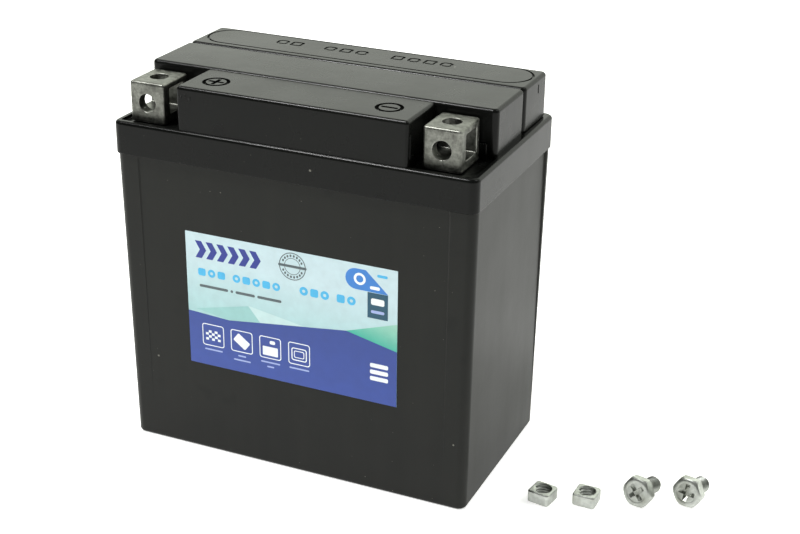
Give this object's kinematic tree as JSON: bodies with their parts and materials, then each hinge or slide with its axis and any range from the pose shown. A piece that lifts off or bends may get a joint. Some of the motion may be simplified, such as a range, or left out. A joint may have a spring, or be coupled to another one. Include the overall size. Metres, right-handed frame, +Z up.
{
  "type": "motorcycle battery",
  "caption": "Sealed lead-acid motorcycle battery with hollow lead terminals on the front corners, a raised lid, a lift-off cap strip, and its loose bolts and square nuts.",
  "frame": {"origin": "middle of the battery's base, on the surface it stands on", "axes": "+X to the right along the long front face, +Y from the front face to the back, +Z up"},
  "size_m": [0.2087, 0.075, 0.139],
  "materials": {
    "case_plastic": "moulded black polypropylene, satin",
    "lid_plastic": "moulded black polypropylene, fine matt grain",
    "rubber": "moulded black rubber, matt",
    "lead": "cast lead, dull grey and mottled",
    "zinc_steel": "zinc-plated steel, satin",
    "label_film": "printed film, semi-gloss",
    "positive_paste": "lead dioxide paste on a lead grid, matt brown",
    "negative_paste": "sponge lead paste on a lead grid, matt grey",
    "glass_mat": "white absorbent glass mat",
    "potting": "cured epoxy"
  },
  "bodies": {
    "battery": {"battery_case": "case_plastic", "battery_lid": "lid_plastic", "front_label": "label_film", "terminal_positive": "lead", "terminal_negative": "lead", "post_positive": "lead", "post_negative": "lead", "post_ring_positive": "rubber", "post_ring_negative": "rubber", "post_seal_positive": "potting", "post_seal_negative": "potting", "positive_plates_1": "positive_paste", "positive_plates_2": "positive_paste", "positive_plates_3": "positive_paste", "positive_plates_4": "positive_paste", "positive_plates_5": "positive_paste", "positive_plates_6": "positive_paste", "negative_plates_1": "negative_paste", "negative_plates_2": "negative_paste", "negative_plates_3": "negative_paste", "negative_plates_4": "negative_paste", "negative_plates_5": "negative_paste", "negative_plates_6": "negative_paste", "separator_1": "glass_mat", "separator_2": "glass_mat", "separator_3": "glass_mat", "separator_4": "glass_mat", "separator_5": "glass_mat", "separator_6": "glass_mat", "cell_link_1": "lead", "cell_link_2": "lead", "cell_link_3": "lead", "cell_link_4": "lead", "cell_link_5": "lead"},
    "cap_strip": {"cap_strip": "lid_plastic"},
    "valve_1": {"valve_cap_1": "rubber"},
    "valve_2": {"valve_cap_2": "rubber"},
    "valve_3": {"valve_cap_3": "rubber"},
    "valve_4": {"valve_cap_4": "rubber"},
    "valve_5": {"valve_cap_5": "rubber"},
    "valve_6": {"valve_cap_6": "rubber"},
    "nut_1": {"nut_1": "zinc_steel"},
    "nut_2": {"nut_2": "zinc_steel"},
    "bolt_1": {"bolt_1": "zinc_steel"},
    "bolt_2": {"bolt_2": "zinc_steel"}
  },
  "joints": [
    {"name": "cap_strip_lift", "type": "slide", "parent": "battery", "child": "cap_strip", "axis": [0, 0, 1], "range_m": [0, 0.03]},
    {"name": "valve_1_lift", "type": "slide", "parent": "battery", "child": "valve_1", "axis": [0, 0, 1], "range_m": [0, 0.0008], "stiffness_N_per_m": 400},
    {"name": "valve_2_lift", "type": "slide", "parent": "battery", "child": "valve_2", "axis": [0, 0, 1], "range_m": [0, 0.0008], "stiffness_N_per_m": 400},
    {"name": "valve_3_lift", "type": "slide", "parent": "battery", "child": "valve_3", "axis": [0, 0, 1], "range_m": [0, 0.0008], "stiffness_N_per_m": 400},
    {"name": "valve_4_lift", "type": "slide", "parent": "battery", "child": "valve_4", "axis": [0, 0, 1], "range_m": [0, 0.0008], "stiffness_N_per_m": 400},
    {"name": "valve_5_lift", "type": "slide", "parent": "battery", "child": "valve_5", "axis": [0, 0, 1], "range_m": [0, 0.0008], "stiffness_N_per_m": 400},
    {"name": "valve_6_lift", "type": "slide", "parent": "battery", "child": "valve_6", "axis": [0, 0, 1], "range_m": [0, 0.0008], "stiffness_N_per_m": 400},
    {"name": "nut_1_lift", "type": "slide", "parent": "battery", "child": "nut_1", "axis": [0, 0, 1], "range_m": [0, 0.05]},
    {"name": "nut_2_lift", "type": "slide", "parent": "battery", "child": "nut_2", "axis": [0, 0, 1], "range_m": [0, 0.05]},
    {"name": "bolt_1_lift", "type": "slide", "parent": "battery", "child": "bolt_1", "axis": [0, 0, 1], "range_m": [0, 0.05]},
    {"name": "bolt_2_lift", "type": "slide", "parent": "battery", "child": "bolt_2", "axis": [0, 0, 1], "range_m": [0, 0.05]}
  ]
}
